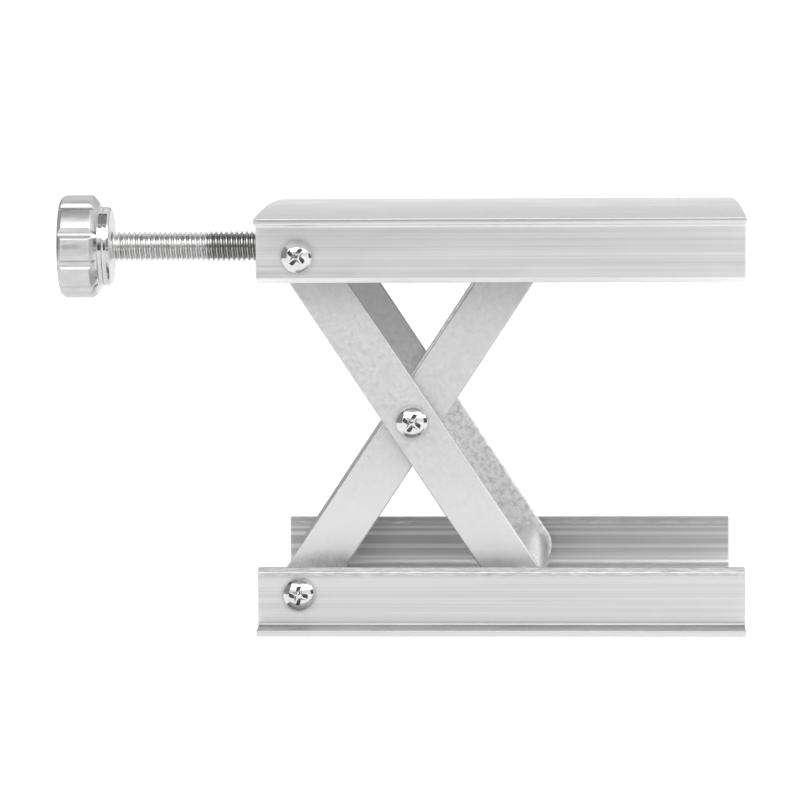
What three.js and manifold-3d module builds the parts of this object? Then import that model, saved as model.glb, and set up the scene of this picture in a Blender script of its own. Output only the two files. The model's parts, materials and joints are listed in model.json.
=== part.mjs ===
// A small scissor lab jack: two aluminium channels, two pairs of crossed arms, and an M6 lead screw
// that pulls the upper ends of the arms together. Millimetres. +X runs along the screw, away from
// the knob, -Y is the near side and +Z is up. The origin is the centre of the base's underside.
import * as THREE from "three";
import { mergeVertices } from "three/addons/utils/BufferGeometryUtils.js";
import Module from "manifold-3d";

// The two channels
const CHANNEL_LENGTH = 90;
const CHANNEL_WIDTH = 100;
const CHANNEL_HEIGHT = 12.1;
const PLATE_THICKNESS = 2.2;
const LIP_WIDTH = 5.5;
const LIP_THICKNESS = 1.25;
const WALL_THICKNESS = 1.6;
const FOOT_RADIUS = 1.2; // fillet between a wall and the plate, inside
const LIP_FILLET = 0.95; // fillet between a wall and its lip, outside
const PLATFORM_CROWN = 1.5; // how far the platform's middle stands above its edges

// The linkage, at the height where the jack is shown
const ARM_CENTRES = 75.2; // pivot to pivot
const ARM_ANGLE = THREE.MathUtils.degToRad(56.4);
const ARM_WIDTH = 9.2;
const ARM_THICKNESS = 2;
const OUTER_ARM_FACE = 36.8; // from the middle plane to an outer arm's outer face
const PIVOT_FROM_END = 7.6; // from a channel's knob end
const PIVOT_FROM_PLATE = 7.15; // from the plate's outer face

// Rods, spacers and M3 hardware
const ROD_RADIUS = 4;
const ROD_CHAMFER = 0.4;
const SPACER_RADIUS = 3.25;
const M3_RADIUS = 1.5;
const M3_HEAD_RADIUS = 3;
const M3_HEAD_HEIGHT = 2.2;
const M3_HEAD_RIM = 0.7; // height of a pan head's straight side
const RECESS_LENGTH = 3.4; // across a cross recess
const RECESS_WIDTH = 0.8;
const RECESS_DEPTH = 1.3;
const M3_NUT_FLATS = 5.5;
const M3_NUT_HEX_HEIGHT = 2.4;
const M3_NUT_COLLAR_RADIUS = 2.5;
const M3_NUT_HEIGHT = 4;
const WASHER_RADIUS = 4.4;
const WASHER_THICKNESS = 0.8;
const LOWER_WALL_SCREW_LENGTH = 20;
const UPPER_WALL_SCREW_LENGTH = 16;
const SHORT_SCREW_LENGTH = 10;

// Lead screw and knob
const SCREW_RADIUS = 3;
const NECK_RADIUS = 2;
const GROOVE_RADIUS = 1.6;
const CLIP_RADIUS = 3.5;
const CLIP_THICKNESS = 0.6;
const THRUST_WASHER_RADIUS = 4;
const TIP_LENGTH = 1.3; // beyond the clip's groove
const KNOB_RADIUS = 10;
const KNOB_LENGTH = 7.4;
const KNOB_FRONT_CHAMFER = 0.8;
const KNOB_BACK_CHAMFER = 1.1;
const KNOB_LOBES = 10;
const FLUTE_RADIUS = 1.05;
const FLUTE_DEPTH = 0.6;
const FLUTE_ANGLE = THREE.MathUtils.degToRad(17.2); // of the first flute, below the near side
const HUB_RADIUS = 7.7;
const HUB_LENGTH = 1.1;
const LOCK_RING_LENGTH = 1.1;
const KNOB_FACE_X = -86.3; // the knob's outer face, at the height shown
const SCREW_SEAT_DEPTH = 1.6; // from the knob's outer face to the screw's end, inside its bore

const GAP = 0.3; // left between pieces that touch
const KNOB_SEGMENTS = 48;
const ROUND_SEGMENTS = 24;
const SMALL_SEGMENTS = 16;
const ARC_SEGMENTS = 7;
const LOBE_SEGMENTS = 4;

// Places worked out from the sizes above
const LOWER_Z = PIVOT_FROM_PLATE;
const UPPER_Z = LOWER_Z + ARM_CENTRES * Math.sin(ARM_ANGLE);
const TOP_Z = UPPER_Z + PIVOT_FROM_PLATE;
const FIXED_X = -CHANNEL_LENGTH / 2 + PIVOT_FROM_END;
const SLIDE_X = FIXED_X + ARM_CENTRES * Math.cos(ARM_ANGLE);
const CENTRE_X = (FIXED_X + SLIDE_X) / 2;
const CENTRE_Z = (LOWER_Z + UPPER_Z) / 2;
const WALL_OUTER = CHANNEL_WIDTH / 2 - LIP_WIDTH;
const WALL_INNER = WALL_OUTER - WALL_THICKNESS;
const INNER_ARM_FACE = OUTER_ARM_FACE - ARM_THICKNESS - GAP;
const BORE_RADIUS = M3_RADIUS + GAP;

const wasm = await Module();
wasm.setup();

const LOOKS = {
  aluminium: { color: 0xd4d4d2, roughness: 0.35, metalness: 1 },
  plated: { color: 0xc9c8c4, roughness: 0.4, metalness: 1 },
  steel: { color: 0xb9b8b4, roughness: 0.3, metalness: 1 },
  chrome: { color: 0xe6e6e8, roughness: 0.08, metalness: 1 },
  nylon: { color: 0xe4e2da, roughness: 0.5, metalness: 0 },
};

const jack = new THREE.Group();

function addPiece(name, look, geometry, x = 0, y = 0, z = 0) {
  const mesh = new THREE.Mesh(geometry, new THREE.MeshStandardMaterial(LOOKS[look]));
  mesh.name = name;
  mesh.position.set(x, y, z);
  jack.add(mesh);
  return mesh;
}

// A geometry as a solid that can be joined and cut.
function toSolid(geometry) {
  const bare = geometry.clone();
  bare.deleteAttribute("normal");
  bare.deleteAttribute("uv");
  const merged = mergeVertices(bare, 1e-4);
  return new wasm.Manifold(
    new wasm.Mesh({
      numProp: 3,
      vertProperties: merged.attributes.position.array,
      triVerts: merged.index.array,
    }),
  );
}

function toGeometry(solid) {
  const { vertProperties, triVerts } = solid.getMesh();
  const geometry = new THREE.BufferGeometry();
  geometry.setAttribute("position", new THREE.BufferAttribute(vertProperties, 3));
  geometry.setIndex(new THREE.BufferAttribute(triVerts, 1));
  geometry.computeVertexNormals();
  return geometry;
}

// The first geometry with the others cut out of it.
function cut(geometry, ...cutters) {
  const left = cutters.reduce((solid, cutter) => solid.subtract(toSolid(cutter)), toSolid(geometry));
  return toGeometry(left);
}

// A turned piece about Y. The profile is a list of [radius, height], from the lowest end to the top.
function turned(profile, segments = SMALL_SEGMENTS) {
  return new THREE.LatheGeometry(
    profile.map(([radius, height]) => new THREE.Vector2(radius, height)),
    segments,
  );
}

function rodAlongY(radius, from, to, segments = SMALL_SEGMENTS) {
  return turned([[0, from], [radius, from], [radius, to], [0, to]], segments);
}

// A ring about Y.
function ring(innerRadius, outerRadius, from, to, segments = SMALL_SEGMENTS) {
  return turned(
    [[innerRadius, from], [outerRadius, from], [outerRadius, to], [innerRadius, to], [innerRadius, from]],
    segments,
  );
}

// Turns a piece made about Y so that its +Y end points along +X.
function alongX(geometry) {
  return geometry.rotateZ(-Math.PI / 2);
}

// ---- Channels ----

// The extrusion's outline, plate down: the outer face, then up and down each wall in turn.
function channelSection(crown) {
  const half = CHANNEL_WIDTH / 2;
  const bullnose = WALL_THICKNESS / 2;
  const wallEnd = CHANNEL_HEIGHT - bullnose;
  const footTop = PLATE_THICKNESS + FOOT_RADIUS;
  const footEdge = WALL_INNER - FOOT_RADIUS;
  const filletTop = LIP_THICKNESS + LIP_FILLET;
  const section = new THREE.Shape();
  section.moveTo(-half, 0);
  if (crown > 0) section.quadraticCurveTo(0, -2 * crown, half, 0);
  else section.lineTo(half, 0);
  section.lineTo(half, LIP_THICKNESS);
  section.absarc(WALL_OUTER + LIP_FILLET, filletTop, LIP_FILLET, -Math.PI / 2, -Math.PI, true);
  section.lineTo(WALL_OUTER, wallEnd);
  section.absarc(WALL_OUTER - bullnose, wallEnd, bullnose, 0, Math.PI, false);
  section.lineTo(WALL_INNER, footTop);
  section.absarc(footEdge, footTop, FOOT_RADIUS, 0, -Math.PI / 2, true);
  section.lineTo(-footEdge, PLATE_THICKNESS);
  section.absarc(-footEdge, footTop, FOOT_RADIUS, -Math.PI / 2, -Math.PI, true);
  section.lineTo(-WALL_INNER, wallEnd);
  section.absarc(-WALL_OUTER + bullnose, wallEnd, bullnose, 0, Math.PI, false);
  section.absarc(-WALL_OUTER - LIP_FILLET, filletTop, LIP_FILLET, 0, -Math.PI / 2, true);
  section.lineTo(-half, LIP_THICKNESS);
  section.closePath();
  return section;
}

// A channel that stands on its plate, with the two holes for its pivot screws.
function channel(crown) {
  const extruded = new THREE.ExtrudeGeometry(channelSection(crown), {
    depth: CHANNEL_LENGTH,
    bevelEnabled: false,
    curveSegments: ARC_SEGMENTS,
  });
  const sectionAcrossX = new THREE.Matrix4().makeBasis(
    new THREE.Vector3(0, 1, 0),
    new THREE.Vector3(0, 0, 1),
    new THREE.Vector3(1, 0, 0),
  );
  extruded.applyMatrix4(sectionAcrossX).translate(-CHANNEL_LENGTH / 2, 0, 0);
  const drill = rodAlongY(BORE_RADIUS, -CHANNEL_WIDTH / 2, CHANNEL_WIDTH / 2);
  return cut(extruded, drill.translate(FIXED_X, 0, PIVOT_FROM_PLATE));
}

function addChannels() {
  addPiece("base_channel", "aluminium", channel(0));
  addPiece("platform_channel", "aluminium", channel(PLATFORM_CROWN).rotateX(Math.PI), 0, 0, TOP_Z);
}

// ---- Arms ----

// A flat bar with round ends and three holes, lying along X from its first pivot at the origin,
// with its thickness centred on the XZ plane.
function arm() {
  const radius = ARM_WIDTH / 2;
  const outline = new THREE.Shape();
  outline.moveTo(0, -radius);
  outline.lineTo(ARM_CENTRES, -radius);
  outline.absarc(ARM_CENTRES, 0, radius, -Math.PI / 2, Math.PI / 2, false);
  outline.lineTo(0, radius);
  outline.absarc(0, 0, radius, Math.PI / 2, 1.5 * Math.PI, false);
  for (const x of [0, ARM_CENTRES / 2, ARM_CENTRES]) {
    const hole = new THREE.Path();
    hole.absarc(x, 0, BORE_RADIUS, 0, 2 * Math.PI, true);
    outline.holes.push(hole);
  }
  return new THREE.ExtrudeGeometry(outline, {
    depth: ARM_THICKNESS,
    bevelEnabled: false,
    curveSegments: ROUND_SEGMENTS / 2,
  })
    .rotateX(Math.PI / 2)
    .translate(0, ARM_THICKNESS / 2, 0);
}

const SIDES = [
  ["near", -1],
  ["far", 1],
];

// Inner arms rise from the base's fixed pivot, outer arms fall from the platform's.
function addArms() {
  for (const [side, sign] of SIDES) {
    const innerY = sign * (INNER_ARM_FACE - ARM_THICKNESS / 2);
    const outerY = sign * (OUTER_ARM_FACE - ARM_THICKNESS / 2);
    addPiece(`inner_arm_${side}`, "plated", arm(), FIXED_X, innerY, LOWER_Z).rotation.y = -ARM_ANGLE;
    addPiece(`outer_arm_${side}`, "plated", arm(), FIXED_X, outerY, UPPER_Z).rotation.y = ARM_ANGLE;
  }
}

// ---- Cross rods ----

// A round rod along Y with chamfered ends and a blind hole for an M3 screw in each.
function crossRod(halfLength, holeDepth) {
  const profile = [
    [0, holeDepth - halfLength],
    [BORE_RADIUS, holeDepth - halfLength],
    [BORE_RADIUS, -halfLength],
    [ROD_RADIUS - ROD_CHAMFER, -halfLength],
    [ROD_RADIUS, ROD_CHAMFER - halfLength],
  ];
  const mirrored = profile.map(([radius, height]) => [radius, -height]).reverse();
  return turned([...profile, ...mirrored], ROUND_SEGMENTS);
}

function addRods() {
  const betweenOuter = OUTER_ARM_FACE - ARM_THICKNESS - GAP;
  const betweenInner = INNER_ARM_FACE - ARM_THICKNESS - GAP;
  const holeDepth = 11;
  const nutBore = alongX(rodAlongY(SCREW_RADIUS + GAP, -2 * ROD_RADIUS, 2 * ROD_RADIUS));
  const neckBore = alongX(rodAlongY(NECK_RADIUS + GAP, -2 * ROD_RADIUS, 2 * ROD_RADIUS));
  const nutRod = cut(crossRod(betweenOuter, holeDepth), nutBore);
  const screwEndRod = cut(crossRod(betweenInner, holeDepth), neckBore);
  addPiece("lower_fixed_rod", "steel", crossRod(betweenInner, holeDepth), FIXED_X, 0, LOWER_Z);
  addPiece("lower_slide_rod", "steel", crossRod(betweenOuter, holeDepth), SLIDE_X, 0, LOWER_Z);
  addPiece("upper_nut_rod", "steel", nutRod, FIXED_X, 0, UPPER_Z);
  addPiece("upper_slide_rod", "steel", screwEndRod, SLIDE_X, 0, UPPER_Z);
}

// ---- M3 hardware ----

// A cross recess to cut out of a head whose top faces -Y.
function crossRecess() {
  const long = RECESS_LENGTH / 2;
  const short = RECESS_WIDTH / 2;
  const cross = new THREE.Shape();
  cross.moveTo(long, -short);
  for (let quarter = 0; quarter < 4; quarter++) {
    const angle = (quarter * Math.PI) / 2;
    for (const [x, y] of [[long, short], [short, short], [short, long]]) {
      cross.lineTo(x * Math.cos(angle) - y * Math.sin(angle), x * Math.sin(angle) + y * Math.cos(angle));
    }
  }
  return new THREE.ExtrudeGeometry(cross, { depth: 2 * RECESS_DEPTH, bevelEnabled: false })
    .rotateX(Math.PI / 2)
    .translate(0, RECESS_DEPTH - M3_HEAD_HEIGHT, 0);
}

// A pan head screw whose shank runs along +Y from the underside of its head, at the origin.
function panHeadScrew(shankLength) {
  const domeRise = M3_HEAD_HEIGHT - M3_HEAD_RIM;
  const domeSteps = 5;
  const profile = [[0, -M3_HEAD_HEIGHT]];
  for (let step = 1; step <= domeSteps; step++) {
    const angle = (step / domeSteps) * (Math.PI / 2);
    profile.push([M3_HEAD_RADIUS * Math.sin(angle), -M3_HEAD_RIM - domeRise * Math.cos(angle)]);
  }
  profile.push([M3_HEAD_RADIUS, 0], [M3_RADIUS, 0], [M3_RADIUS, shankLength], [0, shankLength]);
  return cut(turned(profile), crossRecess());
}

// Puts a piece that points along +Y on one side of the jack, pointing at the middle plane.
function addOnSide(name, look, geometry, sign, x, distance, z) {
  const facing = sign < 0 ? geometry : geometry.rotateX(Math.PI);
  return addPiece(name, look, facing, x, sign * distance, z);
}

// A self-locking nut along +Y: a hexagon with a round collar.
function lockNut() {
  const cornerRadius = M3_NUT_FLATS / 2 / Math.cos(Math.PI / 6);
  const hexagon = rodAlongY(cornerRadius, 0, M3_NUT_HEX_HEIGHT, 6);
  const collar = rodAlongY(M3_NUT_COLLAR_RADIUS, M3_NUT_HEX_HEIGHT / 2, M3_NUT_HEIGHT);
  const bore = rodAlongY(BORE_RADIUS, -M3_NUT_HEIGHT, 2 * M3_NUT_HEIGHT);
  return toGeometry(toSolid(hexagon).add(toSolid(collar)).subtract(toSolid(bore)));
}

// The screws through the channel walls, with the spacers that hold the arms off the walls.
function addFixedPivots() {
  const pivots = [
    ["lower", LOWER_Z, INNER_ARM_FACE, LOWER_WALL_SCREW_LENGTH],
    ["upper", UPPER_Z, OUTER_ARM_FACE, UPPER_WALL_SCREW_LENGTH],
  ];
  for (const [level, z, armFace, length] of pivots) {
    const spacerLength = WALL_INNER - armFace - 2 * GAP;
    for (const [side, sign] of SIDES) {
      const screw = panHeadScrew(length);
      const spacer = ring(BORE_RADIUS, SPACER_RADIUS, 0, spacerLength);
      addOnSide(`wall_screw_${level}_${side}`, "chrome", screw, sign, FIXED_X, WALL_OUTER + GAP, z);
      addOnSide(`spacer_${level}_${side}`, "nylon", spacer, sign, FIXED_X, WALL_INNER - GAP, z);
    }
  }
}

// The screws and washers that hold the arms to the ends of the sliding rods.
function addSlideEnds() {
  const ends = [
    ["lower", LOWER_Z, OUTER_ARM_FACE],
    ["upper", UPPER_Z, INNER_ARM_FACE],
  ];
  for (const [level, z, armFace] of ends) {
    const washerFace = armFace + GAP + WASHER_THICKNESS;
    for (const [side, sign] of SIDES) {
      const washer = ring(BORE_RADIUS, WASHER_RADIUS, 0, WASHER_THICKNESS);
      const screw = panHeadScrew(SHORT_SCREW_LENGTH);
      addOnSide(`slide_washer_${level}_${side}`, "steel", washer, sign, SLIDE_X, washerFace, z);
      addOnSide(`slide_screw_${level}_${side}`, "chrome", screw, sign, SLIDE_X, washerFace + GAP, z);
    }
  }
}

// The screws and lock nuts where each pair of arms crosses.
function addCentrePivots() {
  const nutFace = INNER_ARM_FACE - ARM_THICKNESS - GAP;
  for (const [side, sign] of SIDES) {
    const screw = panHeadScrew(SHORT_SCREW_LENGTH);
    addOnSide(`centre_screw_${side}`, "chrome", screw, sign, CENTRE_X, OUTER_ARM_FACE + GAP, CENTRE_Z);
    addOnSide(`centre_nut_${side}`, "steel", lockNut(), sign, CENTRE_X, nutFace, CENTRE_Z);
  }
}

// ---- Lead screw ----

// The screw along +X with its end in the knob, its shoulder before the sliding rod, and a grooved
// neck through the rod. The thread is left as its outside cylinder.
function leadScrew(length, shoulderToRod) {
  const shoulder = length - shoulderToRod;
  const grooveStart = length + 2 * ROD_RADIUS;
  const grooveEnd = grooveStart + CLIP_THICKNESS + 2 * GAP;
  const tip = grooveEnd + TIP_LENGTH;
  const chamfer = 0.4;
  return alongX(
    turned([
      [0, 0],
      [SCREW_RADIUS, 0],
      [SCREW_RADIUS, shoulder - chamfer],
      [SCREW_RADIUS - chamfer, shoulder],
      [NECK_RADIUS, shoulder],
      [NECK_RADIUS, grooveStart],
      [GROOVE_RADIUS, grooveStart],
      [GROOVE_RADIUS, grooveEnd],
      [NECK_RADIUS, grooveEnd],
      [NECK_RADIUS, tip - chamfer],
      [NECK_RADIUS - chamfer, tip],
      [0, tip],
    ]),
  );
}

function addLeadScrew() {
  const start = KNOB_FACE_X + SCREW_SEAT_DEPTH;
  const rodFace = SLIDE_X - ROD_RADIUS;
  const washerStart = rodFace - GAP - WASHER_THICKNESS;
  const clipStart = SLIDE_X + ROD_RADIUS + GAP;
  const washer = ring(NECK_RADIUS + GAP, THRUST_WASHER_RADIUS, 0, WASHER_THICKNESS);
  const clip = ring(GROOVE_RADIUS + GAP, CLIP_RADIUS, 0, CLIP_THICKNESS);
  const screw = leadScrew(rodFace - start, rodFace - washerStart + GAP);
  addPiece("lead_screw", "steel", screw, start, 0, UPPER_Z);
  addPiece("thrust_washer", "steel", alongX(washer), washerStart, 0, UPPER_Z);
  addPiece("retaining_clip", "steel", alongX(clip), clipStart, 0, UPPER_Z);
}

// ---- Knob ----

// The knob's fluted outline: wide lobes parted by narrow round flutes.
function knobOutline() {
  const fluteCentre = KNOB_RADIUS + FLUTE_RADIUS - FLUTE_DEPTH;
  const reach = KNOB_RADIUS ** 2 + fluteCentre ** 2 - FLUTE_RADIUS ** 2;
  const halfFlute = Math.acos(reach / (2 * KNOB_RADIUS * fluteCentre));
  const meet = Math.atan2(KNOB_RADIUS * Math.sin(halfFlute), fluteCentre - KNOB_RADIUS * Math.cos(halfFlute));
  const outline = new THREE.Shape();
  for (let lobe = 0; lobe < KNOB_LOBES; lobe++) {
    const flute = FLUTE_ANGLE + (lobe * 2 * Math.PI) / KNOB_LOBES;
    const next = flute + (2 * Math.PI) / KNOB_LOBES;
    const x = fluteCentre * Math.cos(flute);
    const y = fluteCentre * Math.sin(flute);
    outline.absarc(x, y, FLUTE_RADIUS, flute + Math.PI + meet, flute + Math.PI - meet, true);
    outline.absarc(0, 0, KNOB_RADIUS, flute + halfFlute, next - halfFlute, false);
  }
  return outline;
}

// The knob along +X from its outer face, with its hub on the screw's side and a blind bore.
function knob() {
  const lobed = new THREE.ExtrudeGeometry(knobOutline(), {
    depth: KNOB_LENGTH,
    bevelEnabled: false,
    curveSegments: LOBE_SEGMENTS,
  }).rotateX(-Math.PI / 2);
  const blank = turned(
    [
      [0, 0],
      [KNOB_RADIUS - KNOB_FRONT_CHAMFER, 0],
      [KNOB_RADIUS + GAP, KNOB_FRONT_CHAMFER + GAP],
      [KNOB_RADIUS + GAP, KNOB_LENGTH - KNOB_BACK_CHAMFER - GAP],
      [KNOB_RADIUS - KNOB_BACK_CHAMFER, KNOB_LENGTH],
      [0, KNOB_LENGTH],
    ],
    KNOB_SEGMENTS,
  );
  const hub = rodAlongY(HUB_RADIUS, KNOB_LENGTH / 2, KNOB_LENGTH + HUB_LENGTH, KNOB_SEGMENTS);
  const bore = rodAlongY(SCREW_RADIUS + GAP, SCREW_SEAT_DEPTH - GAP, 2 * KNOB_LENGTH);
  const body = toSolid(lobed).intersect(toSolid(blank));
  return alongX(toGeometry(body.add(toSolid(hub)).subtract(toSolid(bore))));
}

function addKnob() {
  const ringStart = KNOB_FACE_X + KNOB_LENGTH + HUB_LENGTH + GAP;
  const chamfer = 0.3;
  const inner = SCREW_RADIUS + GAP;
  const lockRing = turned(
    [
      [inner, 0],
      [HUB_RADIUS, 0],
      [HUB_RADIUS, LOCK_RING_LENGTH - chamfer],
      [HUB_RADIUS - chamfer, LOCK_RING_LENGTH],
      [inner, LOCK_RING_LENGTH],
      [inner, 0],
    ],
    KNOB_SEGMENTS,
  );
  addPiece("knob", "chrome", knob(), KNOB_FACE_X, 0, UPPER_Z);
  addPiece("knob_lock_ring", "chrome", alongX(lockRing), ringStart, 0, UPPER_Z);
}

addChannels();
addArms();
addRods();
addFixedPivots();
addSlideEnds();
addCentrePivots();
addLeadScrew();
addKnob();

export default jack;
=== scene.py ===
"""A small scissor lab jack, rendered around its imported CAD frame. Shapes are made in millimetres."""
import json
import math

import bmesh
import bpy
from mathutils import Matrix, Vector


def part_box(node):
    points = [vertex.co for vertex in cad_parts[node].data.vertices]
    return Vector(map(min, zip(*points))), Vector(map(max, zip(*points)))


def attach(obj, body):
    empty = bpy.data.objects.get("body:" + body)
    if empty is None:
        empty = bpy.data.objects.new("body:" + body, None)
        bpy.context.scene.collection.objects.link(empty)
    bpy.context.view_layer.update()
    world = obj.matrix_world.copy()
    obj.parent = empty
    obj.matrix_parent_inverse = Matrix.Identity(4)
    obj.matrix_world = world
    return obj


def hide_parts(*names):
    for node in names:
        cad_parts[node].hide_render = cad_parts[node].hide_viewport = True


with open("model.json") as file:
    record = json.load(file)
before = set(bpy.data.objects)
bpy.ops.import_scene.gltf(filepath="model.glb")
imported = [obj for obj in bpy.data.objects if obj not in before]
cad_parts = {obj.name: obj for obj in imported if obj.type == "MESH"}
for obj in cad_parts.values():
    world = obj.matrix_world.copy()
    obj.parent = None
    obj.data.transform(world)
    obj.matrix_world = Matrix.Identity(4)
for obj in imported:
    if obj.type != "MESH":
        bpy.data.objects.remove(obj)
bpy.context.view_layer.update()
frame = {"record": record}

MM = 0.001

# The channels' section, standing on its plate
LIP_WIDTH = 5.5
LIP_THICKNESS = 1.25
LIP_GROOVE_DEPTH = 0.32
WALL_THICKNESS = 1.6
PLATE_THICKNESS = 2.2
FOOT_RADIUS = 1.2
WALL_CHAMFER = (0.72, 0.88)  # across the wall, and down from its edge
PIVOT_FROM_PLATE = 7.15
OUTER_FILLET = 0.7
SAWN_EDGE = 0.24
LIP_CORNER = 0.5
SEAT_RADIUS = 3.45  # the ring that a wall screw's head presses into the wall
SEAT_DEPTH = 0.12
PLATE_STEPS = 40

# Arms, rods and M3 hardware
ARM_EDGE = 0.3
ROD_CHAMFER = 0.4
ROD_HOLE_DEPTH = 11
HOLE_RADIUS = 1.62
M3_RADIUS = 1.48
M3_PITCH = 0.5
HEAD_HEIGHT = 2.2
HEAD_RIM = 0.7
DOME_SPHERE = 3.75
# The cross recess: depth, then a slot's reach and half width there
RECESS = ((-0.4, 1.80, 0.56), (0.80, 1.74, 0.53), (0.82, 1.15, 0.48), (1.26, 0.45, 0.24), (1.40, 0.22, 0.12))
NUT_FLATS = 5.5
NUT_HEIGHT = 4
NUT_HEX_HEIGHT = 2.4
NUT_CHAMFER = 0.22
NUT_FACE_RADIUS = 2.78
NUT_COLLAR_RADIUS = 2.5

# Lead screw and knob
M6_RADIUS = 2.97
M6_PITCH = 1.0
NECK_RADIUS = 2
GROOVE_RADIUS = 1.6
CLIP_GAP = 0.3
CLIP_BAND = 0.85
CLIP_OPENING = math.radians(38)  # to each side of straight down
KNOB_LOBES = 10
FLUTE_RADIUS = 1.05
FLUTE_DEPTH = 0.6
FLUTE_ANGLE = math.radians(17.2)
KNOB_LENGTH = 7.7
KNOB_RADIUS = 9.98
KNOB_FRONT_CHAMFER = 0.8
KNOB_BACK_CHAMFER = (1.35, 1.65)  # along the knob, and inward
KNOB_BORE = M6_RADIUS - 0.52 * M6_PITCH  # nearly down to the thread's roots, as if threaded
KNOB_BORE_FLOOR = 1.5  # from the knob's front
HUB_RADIUS = 7.68
RING_SEAM = 0.04
RING_CHAMFER = (0.5, 0.45)  # along the ring, and inward

# A thread's crest end, root start and root end, and its depth, all in pitches
THREAD_CORNERS = (0.125, 0.47, 0.655)
THREAD_DEPTH = 0.6


# ---- Places from the frame ----

def low(node):
    """A CAD node's lowest corner, in millimetres."""
    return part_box(node)[0] / MM


def high(node):
    """A CAD node's highest corner, in millimetres."""
    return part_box(node)[1] / MM


def extent(node):
    return high(node) - low(node)


def centre(node):
    return (low(node) + high(node)) / 2


PIVOT_X = centre("lower_fixed_rod").x
SLIDE_X = centre("lower_slide_rod").x
LOWER_Z = centre("lower_fixed_rod").z
UPPER_Z = centre("upper_nut_rod").z
ARM_RISE = math.atan2(UPPER_Z - LOWER_Z, SLIDE_X - PIVOT_X)
ARM_SPAN = math.hypot(UPPER_Z - LOWER_Z, SLIDE_X - PIVOT_X)
TOP_Z = UPPER_Z + PIVOT_FROM_PLATE
CROWN = high("platform_channel").z - TOP_Z
WALL_HEIGHT = extent("base_channel").z
HALF_LENGTH = high("base_channel").x
INNER_FACE = high("base_channel").y - LIP_WIDTH - WALL_THICKNESS


# ---- Mesh helpers ----

def fillet(points, radii, steps, closed=True):
    """A 2-D outline with an arc of the given radius at each corner that has one."""
    rounded = []
    count = len(points)
    for i, (point, radius) in enumerate(zip(points, radii)):
        p = Vector(point)
        if radius == 0 or (not closed and i in (0, count - 1)):
            rounded.append(p)
            continue
        back = (Vector(points[i - 1]) - p).normalized()
        ahead = (Vector(points[(i + 1) % count]) - p).normalized()
        half = back.angle(ahead) / 2
        arc_centre = p + (back + ahead).normalized() * radius / math.sin(half)
        start = p + back * radius / math.tan(half) - arc_centre
        end = p + ahead * radius / math.tan(half) - arc_centre
        sweep = start.angle_signed(end)
        for step in range(steps + 1):
            turn = Matrix.Rotation(-sweep * step / steps, 2)
            rounded.append(arc_centre + turn @ start)
    return [tuple(p) for p in rounded]


def finish_mesh(bm, name, sharp=38):
    """Closes up a mesh made in millimetres: merged, turned outward, smooth, with its sharp edges marked."""
    bmesh.ops.remove_doubles(bm, verts=bm.verts, dist=1e-4)
    bmesh.ops.dissolve_degenerate(bm, edges=bm.edges, dist=1e-5)
    bmesh.ops.recalc_face_normals(bm, faces=bm.faces)
    bmesh.ops.scale(bm, vec=(MM, MM, MM), verts=bm.verts)
    mesh = bpy.data.meshes.new(name)
    bm.to_mesh(mesh)
    bm.free()
    shade(mesh, sharp)
    return mesh


def shade(mesh, sharp):
    """Smooth shading, with the edges sharper than that angle kept."""
    bm = bmesh.new()
    bm.from_mesh(mesh)
    for face in bm.faces:
        face.smooth = True
    for edge in bm.edges:
        edge.smooth = len(edge.link_faces) == 2 and edge.calc_face_angle(0) < math.radians(sharp)
    bm.to_mesh(mesh)
    bm.free()


def rings(bm, loops, cap=True):
    """Skins closed loops of equal length one after the other, and caps both ends."""
    made = [[bm.verts.new(v) for v in loop] for loop in loops]
    for a, b in zip(made, made[1:]):
        for i in range(len(a)):
            k = (i + 1) % len(a)
            bm.faces.new((a[i], a[k], b[k], b[i]))
    if cap:
        bm.faces.new(made[0][::-1])
        bm.faces.new(made[-1])


def about_x(radius, angle, along):
    return (along, radius * math.cos(angle), radius * math.sin(angle))


def about_y(radius, angle, along):
    return (radius * math.sin(angle), along, radius * math.cos(angle))


def turned(name, profile, place, segments=64, closed=False, sharp=38):
    """A turned piece from a profile of (radius, distance along). A closed profile makes a ring."""
    bm = bmesh.new()
    angles = [2 * math.pi * i / segments for i in range(segments)]
    loops = [[place(r, a, along) for a in angles] for r, along in profile]
    if closed:
        loops.append(loops[0])
    rings(bm, loops, cap=not closed)
    return finish_mesh(bm, name, sharp)


def soft_ring(name, inner, outer, start, end, edge, place):
    """A washer or sleeve with rounded edges."""
    corners = [(inner, start), (outer, start), (outer, end), (inner, end)]
    return turned(name, fillet(corners, [edge] * 4, 3), place, closed=True, sharp=50)


def thread_radius(share, major, pitch):
    """Radius of a 60 degree thread at that share of a pitch, from the start of its crest."""
    minor = major - THREAD_DEPTH * pitch
    crest_end, root_start, root_end = THREAD_CORNERS
    points = [(0, major), (crest_end, major), (root_start, minor), (root_end, minor), (1, major)]
    share %= 1
    for (a, ra), (b, rb) in zip(points, points[1:]):
        if share <= b:
            return ra + (rb - ra) * (share - a) / (b - a)
    return major


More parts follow.
